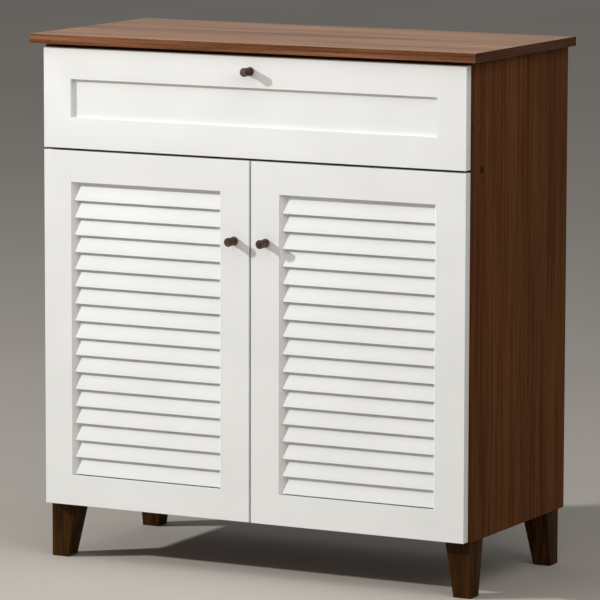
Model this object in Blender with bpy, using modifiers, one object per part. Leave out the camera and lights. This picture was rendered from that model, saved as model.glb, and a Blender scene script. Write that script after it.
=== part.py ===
"""Shoe cabinet: a walnut carcass on four tapered legs, with one drawer and two louvred doors.

Metres, +Z up.  The origin is on the floor, under the middle of the cabinet.  The fronts face -Y,
+X is the right-hand side as one stands before it.
"""
import math

import bmesh
import bpy
from mathutils import Matrix, Vector

# ---- Driving dimensions ---------------------------------------------------------------------

CARCASS_WIDTH = 0.772        # over the two side panels
CARCASS_DEPTH = 0.351        # front edge to back edge of a side panel
CARCASS_HEIGHT = 0.758       # a side panel, bottom to top
BOARD = 0.015                # side, bottom, deck, shelf and top boards
TOP_SIDE_OVERHANG = 0.014
TOP_FRONT_OVERHANG = 0.029   # past the carcass front edge, so it also shades the fronts
BACK_BOARD = 0.003
BACK_INSET = 0.007           # from the carcass back edge to the back board
GROOVE_DEPTH = 0.005
BOTTOM_LIFT = 0.003          # the bottom panel sits this far above the side panels' lower edges
RAIL_DEPTH = 0.060

LEG_HEIGHT = 0.092
LEG_TOP = 0.0455
LEG_FOOT = 0.0305
LEG_SIDE_INSET = 0.0038
LEG_FRONT_INSET = 0.005
LEG_BACK_INSET = 0.0125
LEG_PLATE = 0.0022
LEG_PLATE_LENGTH = 0.056

FRONT_THICKNESS = 0.016      # doors and drawer front
FRONT_REVEAL = 0.0060        # carcass edge left showing beside the fronts
FRONT_STANDOFF = 0.002       # air between the fronts and the carcass
FRONT_GAP = 0.004            # between neighbouring fronts
TOP_SHADOW_GAP = 0.0064      # between the top and the drawer front
DOOR_DROP = 0.0005           # the doors end this far above the side panels' lower edges

DRAWER_FRONT_HEIGHT = 0.163
RECESS_MARGIN = 0.0445
RECESS_DEPTH = 0.006
DRAWER_SIDE_HEIGHT = 0.110
DRAWER_SIDE = 0.012
DRAWER_LENGTH = 0.320
DRAWER_FLOOR = 0.003
DRAWER_FLOOR_LIFT = 0.010
DRAWER_GROOVE = 0.005
DRAWER_TO_DECK = 0.0105

STILE = 0.0506
DOOR_TOP_RAIL = 0.051
DOOR_BOTTOM_RAIL = 0.0498
SLATS = 17
SLAT_HEIGHT = 0.0302
SLAT_THICKNESS = 0.0042      # measured front to back
SLAT_SETBACK = 0.0029        # lower front edge of a slat behind the door's face
SLAT_SLOPE = math.radians(15)
SLAT_BOTTOM_GAP = 0.0015
END_BEVEL = 0.0105           # the sloping cheeks that hold the slats' ends

KNOB_RADIUS = 0.0072
KNOB_LENGTH = 0.022
KNOB_EDGE = 0.0011           # the chamfer round a knob's front
KNOB_FROM_EDGE = 0.0265      # in from a door's meeting edge
KNOB_FROM_DOOR_TOP = 0.1296
KNOB_FROM_DRAWER_TOP = 0.024
SCREW_RADIUS = 0.002
SCREW_HEAD_RADIUS = 0.004
SCREW_HEAD = 0.002
SCREW_BITE = 0.010           # length of screw inside the knob

HINGE_AXIS_IN = 0.006        # hinge axis in from a door's outer edge
HINGE_AXIS_FORWARD = 0.012   # and forward of the door's back
CUP_RADIUS = 0.0172
CUP_DEPTH = 0.0112
CUP_WALL = 0.0010
CUP_CENTRE_IN = 0.0225       # cup centre in from the door's outer edge
CUP_FLANGE = 0.0012
CUP_WING = 0.046
HINGE_FROM_END = 0.100       # hinge height from the door's top or bottom
CUP_RIM = 0.0020             # the rim stands this far past the cup's wall
CUP_TAB = 0.0115             # width of the two screw tabs above and below the cup
ARM_PLATE = 0.0026           # the plate screwed to the side panel
ARM_PLATE_FRONT = 0.0290     # the plate starts this far behind the carcass front edge
ARM_PLATE_BACK = 0.0610
ARM_PLATE_HEIGHT = 0.0500
ARM_FRONT = 0.0180           # the channel over the plate
ARM_BACK = 0.0720
ARM_HEIGHT = 0.0140
ARM_RISE = 0.0105            # the channel stands this far off the plate
NOSE_HEIGHT = 0.0112         # the narrower nose that reaches into the cup
NOSE_OVERLAP = 0.0035        # length of nose inside the channel

SHELVES = 2
SHELF_FRONT_INSET = 0.022
SHELF_SIDE_PLAY = 0.001
PIN_RADIUS = 0.0025
PIN_COLLAR_RADIUS = 0.0042
PIN_COLLAR = 0.0015
PIN_IN_BOARD = 0.008
PIN_OUT = 0.009
PIN_FROM_END = 0.045

RUNNER_SPACE = 0.0125        # between the drawer side and the side panel
RUNNER_SHEET = 0.0012
RUNNER_HEIGHT = 0.026
RUNNER_LENGTH = 0.300
RUNNER_FLANGE = 0.0090
RUNNER_FRONT_INSET = 0.002
ROLLER_RADIUS = 0.0088
ROLLER_WIDTH = 0.0070
ROLLER_FROM_END = 0.012
AXLE_RADIUS = 0.0028

FIT = 0.0003                 # gap between pieces that touch
PLAY = 0.0005                # gap between pieces that slide past each other
ROUND_STEPS = 32

# ---- Places worked out from the dimensions --------------------------------------------------

FRONT_DEPTH = FRONT_THICKNESS + FRONT_STANDOFF
FACE_Y = KNOB_LENGTH - (KNOB_LENGTH + FRONT_DEPTH + CARCASS_DEPTH) / 2   # outer face of the fronts
FRONT_BACK_Y = FACE_Y + FRONT_THICKNESS
CARCASS_Y = FACE_Y + FRONT_DEPTH
BACK_Y = CARCASS_Y + CARCASS_DEPTH
BACK_BOARD_Y = BACK_Y - BACK_INSET - BACK_BOARD
INNER_BACK_Y = BACK_BOARD_Y - FIT

SIDE_X = CARCASS_WIDTH / 2
INNER_X = SIDE_X - BOARD
FRONT_X = SIDE_X - FRONT_REVEAL

SIDE_TOP = LEG_HEIGHT + CARCASS_HEIGHT
TOP_Z = SIDE_TOP + BOARD
BOTTOM_Z = LEG_HEIGHT + BOTTOM_LIFT
FLOOR_Z = BOTTOM_Z + BOARD
DRAWER_TOP = SIDE_TOP - TOP_SHADOW_GAP
DRAWER_BOTTOM = DRAWER_TOP - DRAWER_FRONT_HEIGHT
DOOR_TOP = DRAWER_BOTTOM - FRONT_GAP
DOOR_BOTTOM = LEG_HEIGHT + DOOR_DROP
DECK_Z = DRAWER_BOTTOM - FRONT_GAP / 2 - BOARD / 2
DECK_TOP = DECK_Z + BOARD
BAY_HEIGHT = (DECK_Z - FLOOR_Z - SHELVES * BOARD) / (SHELVES + 1)

BOX_X = INNER_X - RUNNER_SPACE
BOX_BOTTOM = DECK_TOP + DRAWER_TO_DECK
BOX_TOP = BOX_BOTTOM + DRAWER_SIDE_HEIGHT
BOX_FRONT_Y = FRONT_BACK_Y + FIT
BOX_BACK_Y = BOX_FRONT_Y + DRAWER_LENGTH
BOX_FLOOR_Z = BOX_BOTTOM + DRAWER_FLOOR_LIFT

WALNUT = (0.105, 0.047, 0.025)
WHITE = (0.80, 0.79, 0.76)
DARK_WOOD = (0.050, 0.024, 0.014)
STEEL = (0.62, 0.62, 0.64)
GREY_ENAMEL = (0.70, 0.70, 0.68)
NYLON = (0.75, 0.75, 0.72)
RAW_BOARD = (0.55, 0.42, 0.29)

for old in list(bpy.data.objects):
    bpy.data.objects.remove(old, do_unlink=True)

PARTS = bpy.data.collections.new("shoe_cabinet")
CUTTERS = bpy.data.collections.new("cutters")
for group in (PARTS, CUTTERS):
    bpy.context.scene.collection.children.link(group)


# ---- Small building functions ---------------------------------------------------------------

def finish_of(obj, colour, roughness, metallic=0.0):
    """Give obj its own Principled material."""
    material = bpy.data.materials.new(obj.name + "_finish")
    material.use_nodes = True
    shader = material.node_tree.nodes["Principled BSDF"]
    shader.inputs["Base Color"].default_value = (*colour, 1.0)
    shader.inputs["Roughness"].default_value = roughness
    shader.inputs["Metallic"].default_value = metallic
    obj.data.materials.append(material)


def paint(obj, kind):
    """Finish obj as one of the cabinet's materials."""
    if kind == "walnut":
        finish_of(obj, WALNUT, 0.45)
    elif kind == "white":
        finish_of(obj, WHITE, 0.35)
    elif kind == "dark_wood":
        finish_of(obj, DARK_WOOD, 0.5)
    elif kind == "steel":
        finish_of(obj, STEEL, 0.3, 1.0)
    elif kind == "enamel":
        finish_of(obj, GREY_ENAMEL, 0.4)
    elif kind == "nylon":
        finish_of(obj, NYLON, 0.5)
    else:
        finish_of(obj, RAW_BOARD, 0.7)


def pivot(name, place):
    """An empty on a joint's axis, which the moving pieces hang from."""
    empty = bpy.data.objects.new(name, None)
    empty.location = place
    empty.empty_display_size = 0.03
    PARTS.objects.link(empty)
    return empty


def add_mesh(name, work, kind=None, parent=None, smooth=False):
    """Turn a bmesh made in world places into an object, hung from its pivot if it has one."""
    if parent is not None:
        bmesh.ops.translate(work, verts=work.verts, vec=-Vector(parent.location))
    work.normal_update()
    bmesh.ops.recalc_face_normals(work, faces=work.faces)
    mesh = bpy.data.meshes.new(name)
    work.to_mesh(mesh)
    work.free()
    obj = bpy.data.objects.new(name, mesh)
    obj.parent = parent
    if kind is None:
        CUTTERS.objects.link(obj)
        obj.hide_render = True
        obj.display_type = "WIRE"
    else:
        PARTS.objects.link(obj)
        paint(obj, kind)
    if smooth:
        mesh.shade_smooth()
        mesh.set_sharp_from_angle(angle=math.radians(40))
    return obj


def block(low, high):
    """A bmesh box between two corners."""
    low, high = Vector(low), Vector(high)
    work = bmesh.new()
    placed = Matrix.Translation((low + high) / 2) @ Matrix.Diagonal((*(high - low), 1.0))
    bmesh.ops.create_cube(work, size=1.0, matrix=placed)
    return work


def box(name, low, high, kind=None, parent=None):
    """A plain board or plate, or a cutter when it has no kind."""
    return add_mesh(name, block(low, high), kind, parent)


def rod(name, centre, axis, radius, length, kind=None, parent=None, steps=ROUND_STEPS):
    """A round bar along axis, centred on centre."""
    work = bmesh.new()
    turn = Vector((0, 0, 1)).rotation_difference(Vector(axis)).to_matrix().to_4x4()
    bmesh.ops.create_cone(work, cap_ends=True, segments=steps, radius1=radius, radius2=radius,
                          depth=length, matrix=Matrix.Translation(centre) @ turn)
    return add_mesh(name, work, kind, parent, smooth=True)


def turned(name, outline, start, axis, kind, parent=None, steps=ROUND_STEPS):
    """A piece turned on a lathe: outline is (radius, distance) pairs, from the far end to start."""
    work = bmesh.new()
    corners = [work.verts.new((radius, 0, along)) for radius, along in outline]
    for first, second in zip(corners, corners[1:]):
        work.edges.new((first, second))
    mesh = bpy.data.meshes.new(name)
    work.to_mesh(mesh)
    work.free()
    obj = bpy.data.objects.new(name, mesh)
    PARTS.objects.link(obj)
    turn = Vector((0, 0, 1)).rotation_difference(Vector(axis))
    obj.rotation_euler = turn.to_euler()
    obj.parent = parent
    obj.location = Vector(start) - (Vector(parent.location) if parent else Vector())
    screw = obj.modifiers.new("turn", "SCREW")
    screw.steps = screw.render_steps = steps
    screw.use_merge_vertices = True
    screw.merge_threshold = 0.00001
    paint(obj, kind)
    return obj


def boolean(obj, tool, operation):
    """Cut or join obj with tool, which stays behind as a cutter."""
    change = obj.modifiers.new(operation.lower(), "BOOLEAN")
    change.operation = operation
    change.object = tool


def cut(obj, tool):
    boolean(obj, tool, "DIFFERENCE")


def join(obj, tool):
    boolean(obj, tool, "UNION")


def sides():
    """The two sides of the cabinet, as a name and the sign of X."""
    return (("left", -1), ("right", 1))


def mirrored_box(name, sign, low, high, kind=None, parent=None):
    """A box given for the right-hand side, placed on the side that sign names."""
    xs = sorted((sign * low[0], sign * high[0]))
    return box(name, (xs[0], low[1], low[2]), (xs[1], high[1], high[2]), kind, parent)


# ---- Carcass --------------------------------------------------------------------------------

def side_panel(side, sign):
    """A side panel, with the back board's groove and the holes for the shelf pins."""
    panel = mirrored_box(side + "_side_panel", sign, (INNER_X, CARCASS_Y, LEG_HEIGHT),
                         (SIDE_X, BACK_Y, SIDE_TOP - FIT), "walnut")
    groove = mirrored_box(side + "_back_groove", sign,
                          (INNER_X - BOARD, BACK_BOARD_Y - FIT, LEG_HEIGHT - BOARD),
                          (INNER_X + GROOVE_DEPTH, BACK_BOARD_Y + BACK_BOARD + FIT,
                           SIDE_TOP + BOARD))
    cut(panel, groove)
    for level, end, place in pin_places(sign):
        hole = rod(f"{side}_{level}_{end}_pin_hole", place, (1, 0, 0), PIN_RADIUS + FIT,
                   2 * (PIN_IN_BOARD + FIT))
        cut(panel, hole)


def shelf_levels():
    """The underside of each shelf, from the lowest up."""
    names = ("lower", "upper") if SHELVES == 2 else [f"level_{i + 1}" for i in range(SHELVES)]
    for index, name in enumerate(names):
        yield name, FLOOR_Z + (index + 1) * BAY_HEIGHT + index * BOARD


def pin_places(sign):
    """Where the shelf pins leave the side panel's inner face."""
    shelf_front = CARCASS_Y + SHELF_FRONT_INSET
    for level, underside in shelf_levels():
        height = underside - FIT - PIN_RADIUS
        for end, along in (("front", shelf_front + PIN_FROM_END),
                           ("rear", INNER_BACK_Y - PIN_FROM_END)):
            yield level, end, (sign * INNER_X, along, height)


def shelf_pin(side, sign, level, end, place):
    """A steel pin with a collar that stops it at the board."""
    outline = [(0, PIN_OUT), (PIN_RADIUS, PIN_OUT), (PIN_RADIUS, PIN_COLLAR + FIT),
               (PIN_COLLAR_RADIUS, PIN_COLLAR + FIT), (PIN_COLLAR_RADIUS, FIT), (PIN_RADIUS, FIT),
               (PIN_RADIUS, -PIN_IN_BOARD), (0, -PIN_IN_BOARD)]
    turned(f"{side}_{level}_{end}_shelf_pin", outline, place, (-sign, 0, 0), "steel", steps=16)


def carcass():
    """Boards, shelves and their pins."""
    span = INNER_X - FIT
    for side, sign in sides():
        side_panel(side, sign)
    box("bottom_panel", (-span, CARCASS_Y, BOTTOM_Z), (span, INNER_BACK_Y, FLOOR_Z), "walnut")
    box("drawer_deck", (-span, CARCASS_Y, DECK_Z), (span, INNER_BACK_Y, DECK_TOP), "walnut")
    rail_top = SIDE_TOP - FIT
    box("front_top_rail", (-span, CARCASS_Y, rail_top - BOARD),
        (span, CARCASS_Y + RAIL_DEPTH, rail_top), "walnut")
    box("rear_top_rail", (-span, INNER_BACK_Y - RAIL_DEPTH, rail_top - BOARD),
        (span, INNER_BACK_Y, rail_top), "walnut")
    tongue = INNER_X + GROOVE_DEPTH - FIT
    box("back_panel", (-tongue, BACK_BOARD_Y, BOTTOM_Z),
        (tongue, BACK_BOARD_Y + BACK_BOARD, rail_top), "raw_board")
    overhang_x = SIDE_X + TOP_SIDE_OVERHANG
    box("top_panel", (-overhang_x, CARCASS_Y - TOP_FRONT_OVERHANG, SIDE_TOP),
        (overhang_x, BACK_Y, TOP_Z), "walnut")
    shelf_x = INNER_X - SHELF_SIDE_PLAY - PIN_COLLAR
    for level, underside in shelf_levels():
        box(level + "_shelf", (-shelf_x, CARCASS_Y + SHELF_FRONT_INSET, underside),
            (shelf_x, INNER_BACK_Y - PLAY, underside + BOARD), "walnut")
    for side, sign in sides():
        for level, end, place in pin_places(sign):
            shelf_pin(side, sign, level, end, place)


def leg(name, sign, back):
    """A square leg, plumb on its two outer faces and tapered on its two inner ones."""
    outer_x = sign * (SIDE_X - LEG_SIDE_INSET)
    outer_y = BACK_Y - LEG_BACK_INSET if back else CARCASS_Y + LEG_FRONT_INSET
    inward_x, inward_y = -sign, -1 if back else 1
    work = bmesh.new()
    bmesh.ops.create_cube(work, size=1.0)
    for corner in work.verts:
        width = LEG_TOP if corner.co.z > 0 else LEG_FOOT
        height = LEG_HEIGHT - FIT if corner.co.z > 0 else 0.0
        corner.co = Vector((outer_x + inward_x * width * (corner.co.x + 0.5),
                            outer_y + inward_y * width * (corner.co.y + 0.5), height))
    add_mesh(name + "_leg", work, "dark_wood")
    plate_out = sign * (INNER_X - FIT)
    plate_in = outer_x + inward_x * LEG_PLATE_LENGTH
    low_x, high_x = sorted((plate_out, plate_in))
    low_y, high_y = sorted((outer_y, outer_y + inward_y * LEG_PLATE_LENGTH))
    box(name + "_leg_plate", (low_x, low_y, BOTTOM_Z - FIT - LEG_PLATE),
        (high_x, high_y, BOTTOM_Z - FIT), "steel")


# ---- Knobs and hinges -----------------------------------------------------------------------

def knob(name, x, z, front, parent):
    """A turned knob and the screw that holds it, with the hole they need in the front."""
    bore = SCREW_RADIUS + FIT
    base = FIT
    outline = [(0, KNOB_LENGTH), (KNOB_RADIUS - KNOB_EDGE, KNOB_LENGTH),
               (KNOB_RADIUS, KNOB_LENGTH - KNOB_EDGE), (KNOB_RADIUS, base), (bore, base),
               (bore, SCREW_BITE + 2 * FIT), (0, SCREW_BITE + 2 * FIT)]
    turned(name + "_knob", outline, (x, FACE_Y, z), (0, -1, 0), "dark_wood", parent)
    shank = FRONT_THICKNESS + SCREW_BITE
    head = shank + SCREW_HEAD
    outline = [(0, head), (SCREW_RADIUS, head), (SCREW_RADIUS, SCREW_HEAD),
               (SCREW_HEAD_RADIUS, SCREW_HEAD), (SCREW_HEAD_RADIUS, 0), (0, 0)]
    turned(name + "_knob_screw", outline, (x, FRONT_BACK_Y + FIT + SCREW_HEAD, z), (0, -1, 0),
           "steel", parent, steps=16)
    hole = rod(name + "_screw_hole", (x, FACE_Y + FRONT_THICKNESS / 2, z), (0, 1, 0), bore,
               2 * FRONT_THICKNESS, parent=parent, steps=16)
    cut(front, hole)


def hinge(name, sign, height, frame, door_pivot):
    """A concealed hinge: its cup is let into the door, its arm is screwed to the side panel."""
    cup_x = sign * (FRONT_X - CUP_CENTRE_IN)
    back = FRONT_BACK_Y
    rim_top = FIT + CUP_FLANGE
    cup_floor = FIT - CUP_DEPTH + CUP_WALL
    outline = [(0, cup_floor), (CUP_RADIUS - CUP_WALL, cup_floor), (CUP_RADIUS - CUP_WALL, rim_top),
               (CUP_RADIUS + CUP_RIM, rim_top), (CUP_RADIUS + CUP_RIM, FIT), (CUP_RADIUS, FIT),
               (CUP_RADIUS, FIT - CUP_DEPTH), (0, FIT - CUP_DEPTH)]
    cup = turned(name + "_hinge_cup", outline, (cup_x, back, height), (0, 1, 0), "steel",
                 door_pivot)
    for wing, end in (("upper", 1), ("lower", -1)):
        near, far = sorted((height + end * (CUP_RADIUS + CUP_RIM / 4), height + end * CUP_WING / 2))
        tab = box(f"{name}_{wing}_wing", (cup_x - CUP_TAB / 2, back + FIT + FIT / 3, near),
                  (cup_x + CUP_TAB / 2, back + rim_top - FIT / 3, far), parent=door_pivot)
        join(cup, tab)
    bore = rod(name + "_cup_bore", (cup_x, back, height), (0, 1, 0), CUP_RADIUS + FIT,
               2 * (CUP_DEPTH + FIT), parent=door_pivot)
    cut(frame, bore)

    wall_x = INNER_X - FIT
    arm_x = wall_x - ARM_PLATE
    sunk_x = arm_x + ARM_PLATE / 2
    arm = mirrored_box(name + "_hinge_arm", sign,
                       (arm_x, CARCASS_Y + ARM_PLATE_FRONT, height - ARM_PLATE_HEIGHT / 2),
                       (wall_x, CARCASS_Y + ARM_PLATE_BACK, height + ARM_PLATE_HEIGHT / 2), "steel")
    channel = mirrored_box(name + "_arm_channel", sign,
                           (arm_x - ARM_RISE, CARCASS_Y + ARM_FRONT, height - ARM_HEIGHT / 2),
                           (sunk_x, CARCASS_Y + ARM_BACK, height + ARM_HEIGHT / 2))
    nose = mirrored_box(name + "_arm_nose", sign,
                        (abs(cup_x) - CUP_RADIUS / 4, CARCASS_Y + 2 * PLAY, height - NOSE_HEIGHT / 2),
                        (arm_x - ARM_PLATE / 2, CARCASS_Y + ARM_FRONT + NOSE_OVERLAP,
                         height + NOSE_HEIGHT / 2))
    join(arm, channel)
    join(arm, nose)


# ---- Doors ----------------------------------------------------------------------------------

def slatted_panel(name, low_x, high_x, low_z, high_z, parent):
    """Sloping slats held at both ends by sloping cheeks: one louvre panel for a door."""
    back_y = FRONT_BACK_Y
    lean = math.tan(SLAT_SLOPE)
    grip = SLAT_SETBACK / 2
    first = low_z + SLAT_BOTTOM_GAP
    pitch = (high_z - first - SLAT_HEIGHT) / (SLATS - 1)
    work = bmesh.new()
    for index in range(SLATS):
        low = Vector((low_x + grip, FACE_Y + SLAT_SETBACK, first + index * pitch))
        high = Vector((high_x - grip, low.y + SLAT_THICKNESS, low.z + SLAT_HEIGHT))
        placed = Matrix.Translation((low + high) / 2) @ Matrix.Diagonal((*(high - low), 1.0))
        made = bmesh.ops.create_cube(work, size=1.0, matrix=placed)
        for corner in made["verts"]:
            corner.co.y += (corner.co.z - low.z) * lean
    panel = add_mesh(name + "_louvre_panel", work, "white", parent)
    cheeks = bmesh.new()
    for edge_x, inward in ((low_x, 1), (high_x, -1)):
        ends = sorted((edge_x, edge_x + inward * END_BEVEL))
        low, high = Vector((ends[0], FACE_Y, low_z)), Vector((ends[1], back_y, high_z))
        placed = Matrix.Translation((low + high) / 2) @ Matrix.Diagonal((*(high - low), 1.0))
        made = bmesh.ops.create_cube(cheeks, size=1.0, matrix=placed)
        for corner in made["verts"]:
            at_front = corner.co.y < (low.y + high.y) / 2
            if at_front and abs(corner.co.x - edge_x) > END_BEVEL / 2:
                corner.co.y = FACE_Y + END_BEVEL
    join(panel, add_mesh(name + "_louvre_cheeks", cheeks, parent=parent))


def door(side, sign):
    """A frame in one piece, its louvre panel, its knob and its two hinges."""
    axis_x = sign * (FRONT_X - HINGE_AXIS_IN)
    hung = pivot(side + "_door_pivot", (axis_x, FRONT_BACK_Y - HINGE_AXIS_FORWARD, DOOR_BOTTOM))
    meeting = FRONT_GAP / 2
    frame = mirrored_box(side + "_door_frame", sign, (meeting, FACE_Y, DOOR_BOTTOM),
                         (FRONT_X, FRONT_BACK_Y, DOOR_TOP), "white", hung)
    opening_low = (meeting + STILE, DOOR_BOTTOM + DOOR_BOTTOM_RAIL)
    opening_high = (FRONT_X - STILE, DOOR_TOP - DOOR_TOP_RAIL)
    opening = mirrored_box(side + "_door_opening", sign,
                           (opening_low[0], FACE_Y - BOARD, opening_low[1]),
                           (opening_high[0], FRONT_BACK_Y + BOARD, opening_high[1]), parent=hung)
    cut(frame, opening)
    ends = sorted((sign * (opening_low[0] + FIT), sign * (opening_high[0] - FIT)))
    slatted_panel(side + "_door", ends[0], ends[1], opening_low[1] + FIT, opening_high[1] - FIT,
                  hung)
    knob(side + "_door", sign * (meeting + KNOB_FROM_EDGE), DOOR_TOP - KNOB_FROM_DOOR_TOP, frame,
         hung)
    for level, height in (("upper", DOOR_TOP - HINGE_FROM_END),
                          ("lower", DOOR_BOTTOM + HINGE_FROM_END)):
        hinge(f"{side}_{level}", sign, height, frame, hung)


# ---- Drawer and its runners -----------------------------------------------------------------

def drawer(guide):
    """A five-board drawer: recessed front, two grooved sides, a back and a thin floor."""
    front = box("drawer_front", (-FRONT_X, FACE_Y, DRAWER_BOTTOM), (FRONT_X, FRONT_BACK_Y, DRAWER_TOP),
                "white", guide)
    recess = block((-FRONT_X + RECESS_MARGIN, FACE_Y - RECESS_DEPTH, DRAWER_BOTTOM + RECESS_MARGIN),
                   (FRONT_X - RECESS_MARGIN, FACE_Y + RECESS_DEPTH, DRAWER_TOP - RECESS_MARGIN))
    middle_z = (DRAWER_BOTTOM + DRAWER_TOP) / 2
    for corner in recess.verts:
        step = RECESS_DEPTH if corner.co.y > FACE_Y else -RECESS_DEPTH
        corner.co.x -= math.copysign(step, corner.co.x)
        corner.co.z -= math.copysign(step, corner.co.z - middle_z)
    cut(front, add_mesh("drawer_recess", recess, parent=guide))
    knob("drawer", 0.0, DRAWER_TOP - KNOB_FROM_DRAWER_TOP, front, guide)

    floor_top = BOX_FLOOR_Z + DRAWER_FLOOR
    inner = BOX_X - DRAWER_SIDE
    for side, sign in sides():
        panel = mirrored_box(f"drawer_{side}_side", sign, (inner, BOX_FRONT_Y, BOX_BOTTOM),
                             (BOX_X, BOX_BACK_Y, BOX_TOP), "enamel", guide)
        groove = mirrored_box(f"drawer_{side}_groove", sign,
                              (inner - DRAWER_GROOVE, BOX_FRONT_Y - BOARD, BOX_FLOOR_Z - FIT),
                              (inner + DRAWER_GROOVE, BOX_BACK_Y + BOARD, floor_top + FIT),
                              parent=guide)
        cut(panel, groove)
    tongue = inner + DRAWER_GROOVE - FIT
    box("drawer_floor", (-tongue, BOX_FRONT_Y, BOX_FLOOR_Z), (tongue, BOX_BACK_Y, floor_top),
        "enamel", guide)
    box("drawer_back", (-inner + FIT, BOX_BACK_Y - DRAWER_SIDE, floor_top + FIT),
        (inner - FIT, BOX_BACK_Y, BOX_TOP - FRONT_THICKNESS), "enamel", guide)


def roller(name, place, parent):
    """A nylon roller with a bore, and the empty it turns about."""
    axle = pivot(name + "_axle_line", place)
    if parent is not None:
        axle.location = Vector(place) - Vector(parent.location)
        axle.parent = parent
    work = bmesh.new()
    turn = Matrix.Rotation(math.pi / 2, 4, "Y")
    bmesh.ops.create_cone(work, cap_ends=True, segments=ROUND_STEPS, radius1=ROLLER_RADIUS,
                          radius2=ROLLER_RADIUS, depth=ROLLER_WIDTH, matrix=turn)
    wheel = add_mesh(name, work, "nylon", smooth=True)
    wheel.parent = axle
    bore_work = bmesh.new()
    bmesh.ops.create_cone(bore_work, cap_ends=True, segments=16, radius1=AXLE_RADIUS + FIT,
                          radius2=AXLE_RADIUS + FIT, depth=3 * ROLLER_WIDTH, matrix=turn)
    bore = add_mesh(name + "_bore", bore_work)
    bore.parent = axle
    cut(wheel, bore)


def runners(side, sign, guide):
    """One pair of roller runners: a channel on the side panel and a flanged strip on the drawer."""
    low_z = BOX_BOTTOM + FIT
    high_z = low_z + RUNNER_HEIGHT
    front = CARCASS_Y + RUNNER_FRONT_INSET
    rear = front + RUNNER_LENGTH
    web_out = INNER_X - FIT
    web_in = web_out - RUNNER_SHEET
    channel = mirrored_box(f"cabinet_{side}_runner", sign, (web_in, front, low_z),
                           (web_out, rear, high_z), "enamel")
    for flange, base in (("lower", low_z), ("upper", high_z - RUNNER_SHEET)):
        lip = mirrored_box(f"{side}_{flange}_flange", sign, (web_out - RUNNER_FLANGE, front, base),
                           (web_out - RUNNER_SHEET / 2, rear, base + RUNNER_SHEET))
        join(channel, lip)

    wheel_x = web_in - PLAY - ROLLER_WIDTH / 2
    track = low_z + RUNNER_SHEET
    front_wheel = (sign * wheel_x, front + ROLLER_FROM_END, track + 2 * PLAY + ROLLER_RADIUS)
    stub_in = wheel_x - ROLLER_WIDTH / 2
    stub_centre = (sign * (stub_in + web_in + RUNNER_SHEET / 2) / 2, front_wheel[1], front_wheel[2])
    stub = rod(f"{side}_cabinet_axle", stub_centre, (1, 0, 0), AXLE_RADIUS,
               web_in + RUNNER_SHEET / 2 - stub_in, steps=16)
    join(channel, stub)
    roller(f"cabinet_{side}_roller", front_wheel, None)

    strip_in = BOX_X + FIT
    strip_out = strip_in + RUNNER_SHEET
    ride = front_wheel[2] + ROLLER_RADIUS + FIT
    strip = mirrored_box(f"drawer_{side}_runner", sign, (strip_in, BOX_FRONT_Y + PLAY, low_z - FIT),
                         (strip_out, BOX_BACK_Y - PLAY, ride + RUNNER_SHEET), "enamel", guide)
    flange = mirrored_box(f"{side}_drawer_flange", sign,
                          (strip_in + RUNNER_SHEET / 2, BOX_FRONT_Y + PLAY, ride),
                          (web_in - PLAY, BOX_BACK_Y - PLAY, ride + RUNNER_SHEET), parent=guide)
    join(strip, flange)
    rear_wheel = (sign * wheel_x, BOX_BACK_Y - ROLLER_FROM_END - RUNNER_SHEET,
                  track + FIT + ROLLER_RADIUS)
    outer = wheel_x + ROLLER_WIDTH / 2
    stub_centre = (sign * (outer + strip_in + RUNNER_SHEET / 2) / 2, rear_wheel[1], rear_wheel[2])
    stub = rod(f"{side}_drawer_axle", stub_centre, (1, 0, 0), AXLE_RADIUS,
               outer - strip_in - RUNNER_SHEET / 2, parent=guide, steps=16)
    join(strip, stub)
    roller(f"drawer_{side}_roller", rear_wheel, guide)


# ---- The cabinet ----------------------------------------------------------------------------

carcass()
for end_name, at_back in (("front", False), ("rear", True)):
    for side_name, side_sign in sides():
        leg(f"{end_name}_{side_name}", side_sign, at_back)
for side_name, side_sign in sides():
    door(side_name, side_sign)
slide_guide = pivot("drawer_guide", (0.0, FACE_Y, BOX_BOTTOM))
drawer(slide_guide)
for side_name, side_sign in sides():
    runners(side_name, side_sign, slide_guide)
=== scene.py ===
import math

import bmesh
import bpy
from mathutils import Matrix, Vector


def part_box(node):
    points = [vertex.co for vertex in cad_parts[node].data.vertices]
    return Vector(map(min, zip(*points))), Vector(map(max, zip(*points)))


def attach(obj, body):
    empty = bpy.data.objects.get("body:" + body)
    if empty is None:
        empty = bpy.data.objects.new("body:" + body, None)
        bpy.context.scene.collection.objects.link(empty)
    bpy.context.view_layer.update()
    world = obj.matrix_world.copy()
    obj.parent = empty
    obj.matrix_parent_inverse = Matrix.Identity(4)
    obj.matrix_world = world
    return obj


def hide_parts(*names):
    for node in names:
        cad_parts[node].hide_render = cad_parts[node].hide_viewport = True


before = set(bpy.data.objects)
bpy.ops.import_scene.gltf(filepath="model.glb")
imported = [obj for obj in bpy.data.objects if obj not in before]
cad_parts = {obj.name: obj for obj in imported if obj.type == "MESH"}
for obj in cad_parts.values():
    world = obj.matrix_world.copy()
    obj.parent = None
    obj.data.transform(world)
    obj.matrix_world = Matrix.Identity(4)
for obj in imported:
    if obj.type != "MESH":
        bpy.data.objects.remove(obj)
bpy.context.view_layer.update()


# ---- Side panels ------------------------------------------------------------------------------
# Each side is a 15 mm chipboard panel faced with walnut-print melamine, its grain upright.  The
# front, top and bottom edges wear a glued band of the same print, and the back edge is left raw.
# A round stick-on cap hides the screw that holds the drawer deck.

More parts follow.
